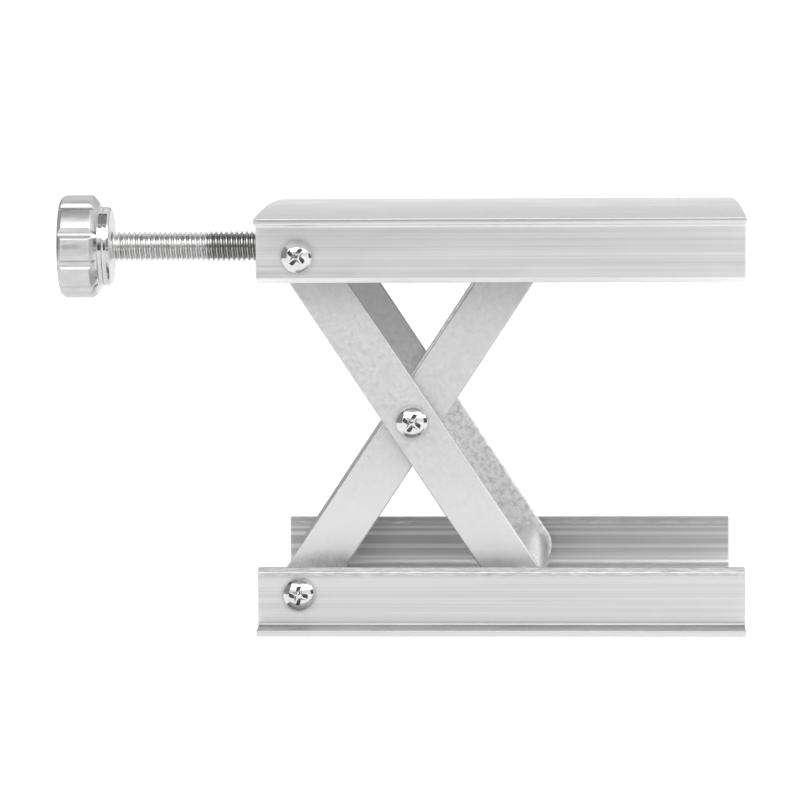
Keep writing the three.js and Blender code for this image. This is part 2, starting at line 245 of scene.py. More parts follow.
def threaded(bm, before, start, end, major, pitch, after, place, columns):
    """A right-hand thread from start to end, between turned profiles that carry the surface on."""
    shares = (0, *THREAD_CORNERS)
    step = len(shares)
    turns = math.ceil((end - start) / pitch) + 1
    angles = [2 * math.pi * j / columns for j in range(columns)]

    def turned_row(radius, along):
        return [bm.verts.new(place(radius, a, along)) for a in angles]

    rows = []
    for k in range(-step, turns * step + 1):
        row = []
        for j, angle in enumerate(angles):
            nominal = start + (k // step + shares[k % step] + j / columns) * pitch
            along = min(max(nominal, start), end)
            share = (along - start) / pitch - j / columns
            row.append(bm.verts.new(place(thread_radius(share, major, pitch), angle, along)))
        rows.append(row)
    for k in range(len(rows) - 1):
        for j in range(columns):
            if j < columns - 1:
                quad = (rows[k][j], rows[k][j + 1], rows[k + 1][j + 1], rows[k + 1][j])
            elif k + 1 + step < len(rows):
                quad = (rows[k][j], rows[k + step][0], rows[k + 1 + step][0], rows[k + 1][j])
            else:
                continue
            bm.faces.new(quad)
    for run, joined in ((before, rows[0]), (after[::-1], rows[-1])):
        made = [turned_row(r, x) for r, x in run] + [joined]
        bm.faces.new(made[0])
        for a, b in zip(made, made[1:]):
            for j in range(columns):
                n = (j + 1) % columns
                bm.faces.new((a[j], a[n], b[n], b[j]))


def linked(name, data):
    """A new object in the scene."""
    obj = bpy.data.objects.new(name, data)
    bpy.context.scene.collection.objects.link(obj)
    return obj


def cut(mesh, *cutters, sharp=38):
    """The mesh with the cutters' shapes taken out of it."""
    blank = linked("blank", mesh)
    tools = [linked("cutter", cutter) for cutter in cutters]
    for tool in tools:
        modifier = blank.modifiers.new("cut", "BOOLEAN")
        modifier.operation = "DIFFERENCE"
        modifier.solver = "EXACT"
        modifier.use_self = True
        modifier.object = tool
    graph = bpy.context.evaluated_depsgraph_get()
    made = bpy.data.meshes.new_from_object(blank.evaluated_get(graph), depsgraph=graph)
    for obj in (blank, *tools):
        bpy.data.objects.remove(obj)
    made.materials.clear()
    shade(made, sharp)
    return made


def drill(profile, place, segments, at=(0, 0, 0)):
    """A turned cutter whose axis passes through that point."""
    cutter = turned("drill", profile, place, segments)
    cutter.transform(Matrix.Translation(Vector(at) * MM))
    return cutter


def piece(name, mesh, material, body, node, place=(0, 0, 0), turn=None, weighted=False):
    """Adds one visible piece that stands for a CAD node and rides on its body."""
    mesh.name = name
    mesh.materials.clear()
    mesh.materials.append(material)
    obj = linked(name, mesh)
    obj.matrix_world = Matrix.Translation(Vector(place) * MM) @ (turn or Matrix.Identity(4))
    if weighted:
        normals = obj.modifiers.new("weighted", "WEIGHTED_NORMAL")
        normals.keep_sharp = True
    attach(obj, body)
    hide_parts(node)


def y_turn(angle):
    return Matrix.Rotation(angle, 4, "Y")


def facing(sign, roll):
    """The turn of a piece made for the near side, pointing at the middle plane from that side."""
    around = Matrix.Rotation(math.pi, 4, "Z") if sign > 0 else Matrix.Identity(4)
    return around @ y_turn(roll)


# ---- Materials ----

class Look:
    """One procedural material, with short calls for its nodes."""

    def __init__(self, name, metallic, specular=0.5):
        self.material = bpy.data.materials.new(name)
        self.material.use_nodes = True
        self.tree = self.material.node_tree
        self.shader = self.tree.nodes["Principled BSDF"]
        self.shader.inputs["Metallic"].default_value = metallic
        self.shader.inputs["Specular IOR Level"].default_value = specular
        self.place = self.node("ShaderNodeTexCoord").outputs["Object"]
        self.normal = None

    def feed(self, socket, value):
        """Links an input to another node's output, or sets it to a constant."""
        if isinstance(value, bpy.types.NodeSocket):
            self.tree.links.new(value, socket)
        else:
            socket.default_value = value

    def node(self, kind, inputs=None, **settings):
        made = self.tree.nodes.new(kind)
        for key, value in settings.items():
            setattr(made, key, value)
        for key, value in (inputs or {}).items():
            self.feed(made.inputs[key], value)
        return made

    def split(self, vector):
        """The X, Y and Z of a vector."""
        return self.node("ShaderNodeSeparateXYZ", {0: vector}).outputs

    def facing_x(self):
        """The X part of the surface's own direction, 1 where it faces +X."""
        return self.split(self.node("ShaderNodeTexCoord").outputs["Normal"])[0]

    def noise(self, scale, detail, rough, seed, distortion=0.0):
        """Noise with that many cells per millimetre along each axis."""
        per_metre = [s / MM for s in scale]
        shift = (seed, seed * 1.7, seed * 2.3)
        mapped = self.node("ShaderNodeMapping", {"Vector": self.place, "Scale": per_metre, "Location": shift})
        return self.node("ShaderNodeTexNoise", {"Vector": mapped.outputs[0], "Scale": 1.0, "Detail": detail,
                                                "Roughness": rough, "Distortion": distortion}).outputs["Fac"]

    def span(self, value, start, end, to_start=0.0, to_end=1.0):
        """A value's place between start and end, carried over to another range and clamped there."""
        return self.node("ShaderNodeMapRange", {"Value": value, "From Min": start, "From Max": end,
                                                "To Min": to_start, "To Max": to_end}).outputs[0]

    def maths(self, operation, a, b=0.0):
        return self.node("ShaderNodeMath", {0: a, 1: b}, operation=operation).outputs[0]

    def plus(self, a, b):
        return self.maths("ADD", a, b)

    def times(self, a, b):
        return self.maths("MULTIPLY", a, b)

    def mix(self, factor, a, b):
        return self.node("ShaderNodeMix", {"Factor": factor, 6: a, 7: b}, data_type="RGBA").outputs[2]

    def bump(self, height, depth):
        """Adds surface relief, its full depth in millimetres."""
        inputs = {"Height": height, "Distance": depth * MM, "Strength": 1.0}
        if self.normal:
            inputs["Normal"] = self.normal
        self.normal = self.node("ShaderNodeBump", inputs).outputs[0]

    def finish(self, colour, roughness):
        self.feed(self.shader.inputs["Base Color"], colour)
        self.feed(self.shader.inputs["Roughness"], roughness)
        if self.normal:
            self.tree.links.new(self.normal, self.shader.inputs["Normal"])
        return self.material


def grey(value, tint=0.0):
    """A linear grey, warmer above zero tint and cooler below it."""
    return (value, value * (1 - 0.4 * abs(tint)), value * (1 - tint), 1)


def extruded_aluminium(name, seed, plate_z, up, tone, shade_and_grime, bright_edge):
    """Mill-finish extrusion. Its walls rise from the plate's outer face at plate_z, or hang with up at -1.

    Die lines run along it under a faint cloudiness, its ends are sawn, and its inner wall faces carry painted
    reflection bands. The grime amount sets painted shade in the corners over the lips and knocks on the
    walls' free edges; bright_edge paints light on those edges, and light is painted on the walls just over
    the lips.
    """
    look = Look(name, 1.0)
    x, y, z = look.split(look.place)
    fine = look.noise((0.006, 4.2, 4.2), 2, 0.6, seed)
    broad = look.noise((0.003, 0.8, 0.8), 2, 0.5, seed + 3)
    cloud = look.noise((0.05, 0.09, 0.09), 2, 0.5, seed + 5)
    saw = look.noise((2, 5, 0.5), 3, 0.7, seed + 7)
    speck = look.noise((1.8, 1.8, 1.8), 2, 0.5, seed + 9)
    streak = look.noise((0.004, 0.12, 0.02), 3, 0.6, seed + 11)
    band = look.noise((0.002, 0.9, 0.9), 1, 0.5, seed + 13)
    chip = look.noise((0.4, 2.4, 2.4), 4, 0.65, seed + 15)

    # Die lines, and on the walls' inner faces broad dark and light bands: a painted reflection, darker with
    # painted shade
    lines = look.plus(look.times(fine, 0.5), look.times(broad, 0.5))
    drawn = look.mix(look.span(lines, 0.35, 0.65), grey(0.58 * tone), grey(0.85 * tone))
    drawn = look.mix(look.span(streak, 0.40, 0.70, 0, 0.5), drawn, grey(0.58 * tone))
    inside = look.span(look.maths("ABSOLUTE", y), (INNER_FACE + 0.2) * MM, (INNER_FACE + 0.05) * MM)
    drawn = look.mix(inside, drawn, look.mix(look.span(band, 0.42, 0.58), grey(0.43), grey(0.76)))

    # A calmer plate, paler on its outer face
    rise = look.times(look.maths("SUBTRACT", z, plate_z * MM), up)
    on_plate = look.span(rise, (PLATE_THICKNESS + 0.8) * MM, (PLATE_THICKNESS + 0.1) * MM, 0, 0.55)
    drawn = look.mix(on_plate, drawn, grey(0.76 * tone))
    drawn = look.mix(look.span(rise, 0.05 * MM, -0.05 * MM, 0, 0.6), drawn, grey(0.9))

    # Painted light on the walls just over the lips, against the lips' shade, and painted shade in the corner
    off_plate = look.span(rise, 0.6 * LIP_THICKNESS * MM, LIP_THICKNESS * MM)
    lip_light = look.times(look.span(rise, LIP_THICKNESS * MM, 6 * MM, 0.7, 0), off_plate)
    drawn = look.mix(lip_light, drawn, grey(0.9 * tone))
    # Painted shade in the corner over the lip, a little weaker towards the -X end
    corner = look.span(rise, (LIP_THICKNESS + 0.35) * MM, (LIP_THICKNESS + 1.05) * MM, shade_and_grime, 0)
    corner_taper = look.span(x, -HALF_LENGTH * MM, HALF_LENGTH * MM, 0.85, 1.0)
    corner_shade = look.times(look.times(corner, off_plate), corner_taper)
    drawn = look.mix(corner_shade, drawn, look.mix(look.span(fine, 0.4, 0.6), grey(0.16), grey(0.42)))

    # Painted light along the walls' free edges, and knocks there
    edge_light = look.span(rise, (WALL_HEIGHT - 1.0) * MM, (WALL_HEIGHT - 0.7) * MM, 0, bright_edge)
    drawn = look.mix(edge_light, drawn, grey(0.97))
    edge = look.span(rise, (WALL_HEIGHT - 1.7) * MM, (WALL_HEIGHT - 1.5) * MM, 0, shade_and_grime * 0.7)
    drawn = look.mix(look.times(edge, look.span(chip, 0.35, 0.62)), drawn, grey(0.36))

    # Cloudiness over all of it, then the sawn ends
    drawn = look.mix(look.span(cloud, 0.35, 0.7, 0, 0.35), drawn, grey(0.74 * tone))
    sawn = look.span(look.maths("ABSOLUTE", look.facing_x()), 0.8, 0.95)
    colour = look.mix(sawn, drawn, look.mix(look.span(saw, 0.3, 0.7), grey(0.52), grey(0.70)))
    rough = look.plus(look.span(fine, 0.3, 0.7, 0.38, 0.52), look.span(cloud, 0.3, 0.7, -0.04, 0.04))
    rough = look.times(rough, look.span(rise, -0.05 * MM, 0.05 * MM, 0.55, 1))
    look.bump(lines, 0.010)
    look.bump(speck, 0.0008)
    look.bump(look.times(saw, sawn), 0.05)
    return look.finish(colour, rough)


def plated_arm(name, seed, spots, shade_fade, foot_light_and_mottle, falling):
    """Dull zinc plate over rolled strip: fine mottle, softer patches, dark spots and a few drag marks.

    The fade paints shade on the first half from the arm's own start and light on the second. The foot amount
    is how strongly the end near the base is painted lighter and, right at the base, darkened with painted
    shade and dirt in a mottle. A falling arm starts at its upper pivot.
    """
    look = Look(name, 1.0)
    along, _, side = look.split(look.place)
    mottle = look.noise((1.3, 1.3, 1.3), 4, 0.62, seed)
    patch = look.noise((0.11, 0.16, 0.16), 3, 0.6, seed + 2, 0.6)
    drag = look.noise((0.06, 2.6, 2.6), 2, 0.6, seed + 4)
    grain = look.noise((0.95, 0.95, 0.95), 4, 0.7, seed + 6)
    shade_and_dirt = look.noise((2.2, 2.2, 2.2), 4, 0.7, seed + 8)

    # The plating, its patches and its spots
    light = look.mix(look.span(mottle, 0.32, 0.68), grey(0.57), grey(0.68))
    colour = look.mix(look.span(patch, 0.35, 0.7, 0, 0.5), light, grey(0.59, 0.01))
    # Painted light on the second half from the arm's own start and painted shade on the first, by the fade
    colour = look.mix(look.span(along, 26 * MM, 46 * MM, 0, shade_fade), colour, grey(0.94))
    colour = look.mix(look.span(along, 10 * MM, 38 * MM, shade_fade * 0.8, 0), colour, grey(0.42))
    spotted = look.span(along, 20 * MM, 36 * MM, spots * 0.6, spots)
    colour = look.mix(look.times(look.span(grain, 0.45, 0.62), spotted), colour, grey(0.36))

    # The end near the base, by its height above the lower pivot with the jack as it stands: painted light
    # over it, and right at the base a dark mottle of painted shade and dirt
    from_foot = look.maths("SUBTRACT", ARM_SPAN * MM, along) if falling else along
    height = look.plus(look.times(from_foot, math.sin(ARM_RISE)), look.times(side, math.cos(ARM_RISE)))
    colour = look.mix(look.span(height, 28 * MM, 7 * MM, 0, min(2 * foot_light_and_mottle, 1)), colour, grey(0.79))
    uneven = look.plus(height, look.span(patch, 0.3, 0.7, -0.8 * MM, 0.8 * MM))
    low_down = look.span(uneven, 4.3 * MM, 7.0 * MM, foot_light_and_mottle, 0)
    colour = look.mix(look.times(low_down, look.span(shade_and_dirt, 0.25, 0.65, 0.35, 1)), colour, grey(0.29))

    rough = look.span(mottle, 0.3, 0.7, 0.44, 0.60)
    rough = look.plus(rough, look.span(patch, 0.3, 0.7, -0.05, 0.05))
    look.bump(mottle, 0.012)
    look.bump(drag, 0.003)
    return look.finish(colour, rough)


def turned_steel(name, base, rough, lines, seed, tint=0.0):
    """Bright turned or plated metal, with fine tool lines and light handling marks."""
    look = Look(name, 1.0)
    tool = look.noise(lines, 2, 0.6, seed)
    smudge = look.noise((0.35, 0.35, 0.35), 3, 0.6, seed + 1)
    speck = look.noise((3.5, 3.5, 3.5), 2, 0.5, seed + 2)
    light = look.mix(look.span(tool, 0.3, 0.7), grey(base * 0.93, tint), grey(base, tint))
    colour = look.mix(look.span(smudge, 0.45, 0.75, 0, 0.4), light, grey(base * 0.86, tint))
    varied = look.span(tool, 0.3, 0.7, rough * 0.8, rough * 1.25)
    varied = look.plus(varied, look.span(smudge, 0.4, 0.7, 0, rough * 0.5))
    look.bump(tool, 0.002)
    look.bump(speck, 0.001)
    return look.finish(colour, varied)


def screw_nickel():
    """Bright nickel plate, painted lighter inside the cross recess, with painted shade and dirt in the
    recess's outer ends and oxide and dirt along the shank.
    """
    look = Look("screw_nickel", 1.0)
    x, y, z = look.split(look.place)
    sphere = DOME_SPHERE * MM

    # The recess and the shank both lie deeper than the dome, and nearer the axis than the head's rim
    across = look.plus(look.times(x, x), look.times(z, z))
    sag = look.maths("SQRT", look.maths("MAXIMUM", look.maths("SUBTRACT", sphere ** 2, across), 0.0))
    under_dome = look.maths("SUBTRACT", look.plus(y, sag), sphere - HEAD_HEIGHT * MM)
    inside = look.span(under_dome, 0.10 * MM, 0.22 * MM)
    in_head = look.span(across, (2.3 * MM) ** 2, (2.4 * MM) ** 2, 1, 0)
    end = look.span(look.maths("SQRT", across), 0.68 * MM, 0.92 * MM, 0.0, 0.96)
    shade_and_dirt = look.times(look.times(inside, end), in_head)

    smudge = look.noise((0.5, 0.5, 0.5), 3, 0.6, 3.2)
    speck = look.noise((3.5, 3.5, 3.5), 2, 0.5, 4.2)
    plate = look.mix(look.span(smudge, 0.4, 0.75), grey(0.72), grey(0.64))
    # Painted light inside the recess, painted shade with dirt at its outer ends, and oxide and dirt along the
    # shank
    colour = look.mix(shade_and_dirt, look.mix(inside, plate, grey(0.95)), look.mix(smudge, grey(0.03), grey(0.10)))
    look.bump(speck, 0.0015)
    return look.finish(colour, look.plus(look.span(smudge, 0.4, 0.7, 0.09, 0.16), look.times(shade_and_dirt, 0.3)))


def off_axis(look):
    """Distance from a turned piece's own X axis, in metres."""
    _, y, z = look.split(look.place)
    return look.maths("SQRT", look.plus(look.times(y, y), look.times(z, z)))


def knob_chrome():
    """Mirror chrome, bright on the turned hub, scuffed along the fluted grip and satin on the end faces."""
    look = Look("knob_chrome", 1.0)
    grip = look.span(off_axis(look), 8.6 * MM, 9.3 * MM)
    faced = look.span(look.facing_x(), 0.86, 0.97)
    scuff = look.noise((0.25, 2.2, 2.2), 4, 0.7, 4.4)
    smudge = look.noise((0.4, 0.5, 0.5), 3, 0.6, 5.1)
    speck = look.noise((2.5, 2.5, 2.5), 2, 0.6, 6.2)
    light = look.mix(look.span(scuff, 0.35, 0.7), grey(0.55), grey(0.63))
    colour = look.mix(look.span(smudge, 0.45, 0.75, 0, 0.5), light, grey(0.50))
    colour = look.mix(faced, colour, grey(0.86))
    worn = look.times(grip, look.span(scuff, 0.35, 0.65, 0.24, 0.38))
    worn = look.plus(worn, look.times(faced, 0.4))
    look.bump(speck, 0.002)
    look.bump(look.times(scuff, grip), 0.012)
    return look.finish(colour, look.plus(worn, look.span(smudge, 0.4, 0.7, 0.05, 0.09)))


def thread_steel():
    """Zinc-plated thread: painted shade with dust in its roots, painted shade on its underside and old grease
    towards the nut.
    """
    look = Look("thread_steel", 1.0)
    x, _, z = look.split(look.place)
    shade_and_grime = look.noise((0.5, 1.2, 1.2), 4, 0.6, 4)
    wear = look.noise((2, 2, 2), 3, 0.6, 9)
    root = look.span(off_axis(look), 2.35 * MM, 2.95 * MM, 1, 0)
    worn = look.mix(look.span(wear, 0.35, 0.7), grey(0.90), grey(0.98))
    # Painted shade with dust in the roots, from 8.5 mm along on
    root_shade_and_dust = look.times(root, look.span(shade_and_grime, 0.3, 0.7, 0.28, 0.72))
    root_shade_and_dust = look.times(root_shade_and_dust, look.span(x, 8.5 * MM, 10 * MM))
    colour = look.mix(root_shade_and_dust, worn, grey(0.2, 0.03))
    # Painted shade on the underside
    colour = look.mix(look.span(z, 0.2 * MM, -0.8 * MM, 0, 0.42), colour, grey(0.4, 0.03))
    edge = look.plus(x, look.span(shade_and_grime, 0, 1, -1.2 * MM, 1.2 * MM))
    greased = look.span(edge, 26.6 * MM, 27.8 * MM, 0, 0.58)
    colour = look.mix(greased, colour, look.mix(root, grey(0.34, 0.02), grey(0.1, 0.03)))
    look.bump(wear, 0.004)
    rough = look.plus(look.span(wear, 0.3, 0.7, 0.13, 0.24), look.times(root, 0.15))
    return look.finish(colour, rough)


def nylon():
    """Moulded natural nylon, faintly cloudy, with a soft sheen."""
    look = Look("spacer_nylon", 0.0)
    cloud = look.noise((0.3, 0.3, 0.3), 3, 0.5, 2)
    grain = look.noise((4, 4, 4), 2, 0.5, 3)
    look.shader.inputs["Subsurface Weight"].default_value = 0.15
    look.shader.inputs["Subsurface Scale"].default_value = 1.5 * MM
    look.bump(grain, 0.004)
    colour = look.mix(look.span(cloud, 0.3, 0.7), grey(0.74, 0.10), grey(0.84, 0.05))
    return look.finish(colour, look.span(grain, 0.3, 0.7, 0.38, 0.5))


def plain(name, value, glow=0.0):
    """The look of a stage piece: one matt tone with the faintest unevenness."""
    look = Look(name, 0.0, 0.2)
    cloud = look.noise((0.004, 0.004, 0.004), 2, 0.5, 1)
    if glow:
        look.shader.inputs["Emission Color"].default_value = (1, 1, 1, 1)
        look.shader.inputs["Emission Strength"].default_value = glow
    return look.finish(look.mix(cloud, grey(value * 0.995), grey(value)), 0.9)


BASE_METAL = extruded_aluminium("extruded_aluminium_base", 1.3, 0, 1, 0.92, 1.0, 0.0)
TOP_METAL = extruded_aluminium("extruded_aluminium_top", 8.1, TOP_Z, -1, 0.89, 0.0, 0.85)
# The arms' foot amounts paint light on their ends near the base; the far arms' fade paints shade on their
# first halves and light on their second
OUTER_ARM = plated_arm("plated_arm_outer", 2.1, 0.08, 0.0, 0.35, True)
INNER_ARM = plated_arm("plated_arm_inner", 3.8, 0.08, 0.0, 0.6, False)
FAR_ARM = plated_arm("plated_arm_far", 6.4, 0.42, 0.95, 0.0, False)
ROD = turned_steel("rod_steel", 0.74, 0.16, (0.3, 6, 0.3), 1.1)
HEAD = screw_nickel()
ZINC = turned_steel("zinc_hardware", 0.62, 0.24, (0.9, 0.9, 0.9), 3.3, 0.01)
CHROME = knob_chrome()
THREAD = thread_steel()
NYLON = nylon()


# ---- Channels ----

def channel_section(width, height, crown, groove):
    """The extrusion's outline as (y, z), standing on its plate, with the corners rounded."""
    half = width / 2
    wall = half - LIP_WIDTH
    inner = wall - WALL_THICKNESS
    edge = [(half, 0, 0.2), (half, LIP_THICKNESS, 0.3)]
    if groove:
        floor = half - LIP_GROOVE_DEPTH
        edge[1:1] = [(half, 0.24, 0), (floor, 0.30, 0), (floor, 0.46, 0), (half, 0.52, 0)]
    side = edge + [
        (wall, LIP_THICKNESS, OUTER_FILLET),
        (wall, height - WALL_CHAMFER[1], 0.3),
        (wall - WALL_CHAMFER[0], height, 0.25),
        (inner, height, 0.45),
        (inner, PLATE_THICKNESS, FOOT_RADIUS),
    ]
    mirrored = [(-y, z, r) for y, z, r in reversed(side)]
    plate = []
    for step in range(1, PLATE_STEPS):
        y = half * (2 * step / PLATE_STEPS - 1)
        plate.append((y, -crown * (1 - (y / half) ** 2), 0))
    corners = side + mirrored + plate
    return fillet([c[:2] for c in corners], [c[2] for c in corners], 6)


def inset(outline, amount):
    """A closed outline moved inward by a small amount."""
    count = len(outline)
    moved = []
    for i, point in enumerate(outline):
        before = Vector(point) - Vector(outline[i - 1])
        after = Vector(outline[(i + 1) % count]) - Vector(point)
        along = (before.normalized() + after.normalized()).normalized()
        moved.append((point[0] - along[1] * amount, point[1] + along[0] * amount))
    return moved


def round_lip_ends(bm, lo, hi):
    """Eases the four corners of the lips, as seen from above."""
    for vert in bm.verts:
        along = max(LIP_CORNER - (vert.co.x - lo.x), LIP_CORNER - (hi.x - vert.co.x), 0)
        out = max(LIP_CORNER - (hi.y - abs(vert.co.y)), 0)
        if along > 0 and out > 0:
            shift = LIP_CORNER - math.sqrt(max(LIP_CORNER ** 2 - out ** 2, 0))
            vert.co.x += shift if vert.co.x < 0 else -shift


def channel(name, node, crown, upright, pivot_z, groove):
    """A sawn length of extrusion, with its two pivot holes."""
    lo, hi = low(node), high(node)
    height = hi.z - lo.z - crown
    outline = channel_section(hi.y - lo.y, height, crown, groove)
    slight = SAWN_EDGE * 0.3
    end = inset(outline, SAWN_EDGE)
    near_end = inset(outline, slight)
    stations = [
        (lo.x, end), (lo.x + slight, near_end), (lo.x + SAWN_EDGE, outline),
        (hi.x - SAWN_EDGE, outline), (hi.x - slight, near_end), (hi.x, end),
    ]
    zero = lo.z if upright else hi.z - crown
    up = 1 if upright else -1
    bm = bmesh.new()
    rings(bm, [[(x, y, zero + up * z) for y, z in loop] for x, loop in stations])
    round_lip_ends(bm, lo, hi)
    body = finish_mesh(bm, name)
    seat = hi.y - LIP_WIDTH - SEAT_DEPTH
    seats = [(SEAT_RADIUS, -hi.y), (SEAT_RADIUS - SEAT_DEPTH, -seat), (HOLE_RADIUS + 0.15, -seat)]
    profile = seats + [(r, -y) for r, y in reversed(seats)]
    return cut(body, drill(profile, about_y, 72, (PIVOT_X, 0, pivot_z)))


def add_channels():
    base = channel("base", "base_channel", 0, True, LOWER_Z, False)
    piece("base_extrusion", base, BASE_METAL, "base", "base_channel", weighted=True)
    top = channel("platform", "platform_channel", CROWN, False, UPPER_Z, True)
    piece("platform_extrusion", top, TOP_METAL, "platform", "platform_channel",
          weighted=True)


# ---- Arms ----

def arm_outline(radius, steps=28):
    """A slot-shaped outline as (x, z) round both end pivots."""
    points = []
    for end, start in ((ARM_SPAN, -math.pi / 2), (0.0, math.pi / 2)):
        for step in range(steps + 1):
            angle = start + math.pi * step / steps
            points.append((end + radius * math.cos(angle), radius * math.sin(angle)))
    return points


def arm_mesh(width, thickness):
    """A flat bar along X from its first pivot, with round ends, rolled edges and three holes."""
    stations = []
    for side in (-1, 1):
        rounding = []
        for step in range(4):
            angle = math.pi / 2 * step / 3
            drop = ARM_EDGE * (1 - math.sin(angle))
            rounding.append((side * (thickness / 2 - ARM_EDGE * (1 - math.cos(angle))), drop))
        stations += rounding if side < 0 else rounding[::-1]
    bm = bmesh.new()
    rings(bm, [[(x, y, z) for x, z in arm_outline(width / 2 - drop)] for y, drop in stations])
    bar = finish_mesh(bm, "arm")
    hole = [(HOLE_RADIUS, -thickness), (HOLE_RADIUS, thickness)]
    return cut(bar, *[drill(hole, about_y, 32, (x, 0, 0)) for x in (0, ARM_SPAN / 2, ARM_SPAN)])


def add_arms():
    width = 2 * (high("inner_arm_near").z - UPPER_Z)
    for side in ("near", "far"):
        for which, z, turn in (("inner", LOWER_Z, -ARM_RISE), ("outer", UPPER_Z, ARM_RISE)):
            node = f"{which}_arm_{side}"
            material = FAR_ARM if side == "far" else {"inner": INNER_ARM, "outer": OUTER_ARM}[which]
            spot = (PIVOT_X, centre(node).y, z)
            piece(f"{node}_bar", arm_mesh(width, extent(node).y), material, f"{which}_arms",
                  node, spot, y_turn(turn), weighted=True)


# ---- Rods and M3 hardware ----

def rod_mesh(half, radius, bore):
    """A cross rod about Y with chamfered ends, an M3 hole in each and, where it has one, a cross bore."""
    edge = [(HOLE_RADIUS, half), (radius - ROD_CHAMFER, half), (radius, half - ROD_CHAMFER)]
    side = [(0.01, half - ROD_HOLE_DEPTH - 0.9), (HOLE_RADIUS, half - ROD_HOLE_DEPTH)] + edge
    profile = side + [(r, -y) for r, y in reversed(side)]
    radii = [0, 0, 0.1, 0.12, 0.2, 0.2, 0.12, 0.1, 0, 0]
    body = turned("rod", fillet(profile, radii, 3, closed=False), about_y, 72, sharp=50)
    if not bore:
        return body
    return cut(body, drill([(bore, -2 * radius), (bore, 2 * radius)], about_x, 48), sharp=50)


def add_rods():
    rods = [
        ("lower_fixed_rod", "base", 0),
        ("lower_slide_rod", "outer_arms", 0),
        ("upper_nut_rod", "platform", M6_RADIUS + 0.1),
        ("upper_slide_rod", "upper_slider", NECK_RADIUS + 0.15),
    ]
    for node, body, bore in rods:
        mesh = rod_mesh(high(node).y, extent(node).z / 2, bore)
        piece(f"{node}_turned", mesh, ROD, body, node, centre(node), weighted=True)


def cross_cutter():
    """A cross recess driver shape: straight-sided slots with a shallow bottom, and a pointed middle."""
    bm = bmesh.new()
    loops = []
    for depth, long, short in RECESS:
        loop = []
        for quarter in range(4):
            turn = Matrix.Rotation(-quarter * math.pi / 2, 2)
            corner = short * 1.3
            for point in ((long, -short * 0.6), (long, short * 0.6), (long - 0.2 * long, short),
                          (corner, short), (short, corner), (short, long - 0.2 * long)):
                loop.append(turn @ Vector(point))
        loops.append([(across, depth - HEAD_HEIGHT, upward) for across, upward in loop])
    rings(bm, loops)
    return finish_mesh(bm, "cross")


def screw_mesh(length, radius):
    """A pan head M3 screw along +Y from the underside of its head, with a cross recess and a real thread."""
    sphere = DOME_SPHERE
    dome = [(0.01, -HEAD_HEIGHT)]
    steps = 14
    for step in range(1, steps + 1):
        reach = radius * 0.985 * step / steps
        dome.append((reach, sphere - HEAD_HEIGHT - math.sqrt(sphere ** 2 - reach ** 2)))
    dome += [(radius, -HEAD_RIM + 0.05), (radius, -0.12), (radius - 0.12, 0), (M3_RADIUS + 0.05, 0)]
    tip = [(M3_RADIUS - 0.45, length - 0.02), (M3_RADIUS - 0.6, length)]
    bm = bmesh.new()
    threaded(bm, dome, 0.5, length - 0.25, M3_RADIUS, M3_PITCH, tip, about_y, 36)
    return cut(finish_mesh(bm, "screw", 42), cross_cutter(), sharp=42)


def nut_mesh():
    """A self-locking nut along +Y: a hexagon with turned corners, a round collar and its bore."""
    collar = NUT_COLLAR_RADIUS
    limits = [
        (0, NUT_FACE_RADIUS), (NUT_CHAMFER, NUT_FLATS),
        (NUT_HEX_HEIGHT - NUT_CHAMFER, NUT_FLATS), (NUT_HEX_HEIGHT, NUT_FACE_RADIUS),
        (NUT_HEX_HEIGHT, collar), (NUT_HEIGHT - 0.3, collar), (NUT_HEIGHT - 0.07, collar - 0.12),
        (NUT_HEIGHT, collar - 0.3),
    ]
    columns = 72
    loops = []
    for along, limit in limits:
        loop = []
        for i in range(columns):
            angle = 2 * math.pi * i / columns
            hexagon = NUT_FLATS / 2 / math.cos(angle % (math.pi / 3) - math.pi / 6)
            loop.append(about_y(min(limit, hexagon), angle, along))
        loops.append(loop)
    bm = bmesh.new()
    rings(bm, loops)
    body = finish_mesh(bm, "nut", 30)
    bore = M3_RADIUS + 0.06
    return cut(body, drill([(bore, -1), (bore, NUT_HEIGHT + 2)], about_y, 36), sharp=30)


def add_hardware():
    head = extent("wall_screw_upper_near").z / 2
    rolls = {  # each screw's turn, in degrees
        "wall_screw_upper_near": 37, "wall_screw_lower_near": 8, "centre_screw_near": 26,
        "wall_screw_upper_far": 21, "wall_screw_lower_far": 67, "centre_screw_far": 5,
        "slide_screw_lower_near": 52, "slide_screw_lower_far": 14,
        "slide_screw_upper_near": 28, "slide_screw_upper_far": 80,
    }
    bodies = {name: body for body, names in frame["record"]["behaviour"]["bodies"].items() for name in names}
    for node, roll in rolls.items():
        sign = 1 if node.endswith("far") else -1
        c = centre(node)
        outermost = high(node).y if sign > 0 else -low(node).y
        length = extent(node).y - HEAD_HEIGHT
        spot = (c.x, sign * (outermost - HEAD_HEIGHT), c.z)
        piece(f"{node}_m3", screw_mesh(length, head), HEAD, bodies[node], node, spot,
              facing(sign, math.radians(roll)))
    for side, sign in (("near", -1), ("far", 1)):
        for level in ("lower", "upper"):
            for kind, edge, material, slot in (("spacer", 0.18, NYLON, "spacer_nylon"),
                                               ("slide_washer", 0.1, ZINC, "zinc_hardware")):
                node = f"{kind}_{level}_{side}"
                half = extent(node).y / 2
                ring = soft_ring(kind, HOLE_RADIUS, extent(node).z / 2, -half, half, edge, about_y)
                piece(f"{node}_ring", ring, material, bodies[node], node, centre(node), weighted=True)
        node = f"centre_nut_{side}"
        start = low(node).y if sign < 0 else high(node).y
        spot = (centre(node).x, start, centre(node).z)
        piece(f"{node}_m3", nut_mesh(), ZINC, bodies[node], node, spot, facing(sign, 0.5))


# ---- Lead screw ----

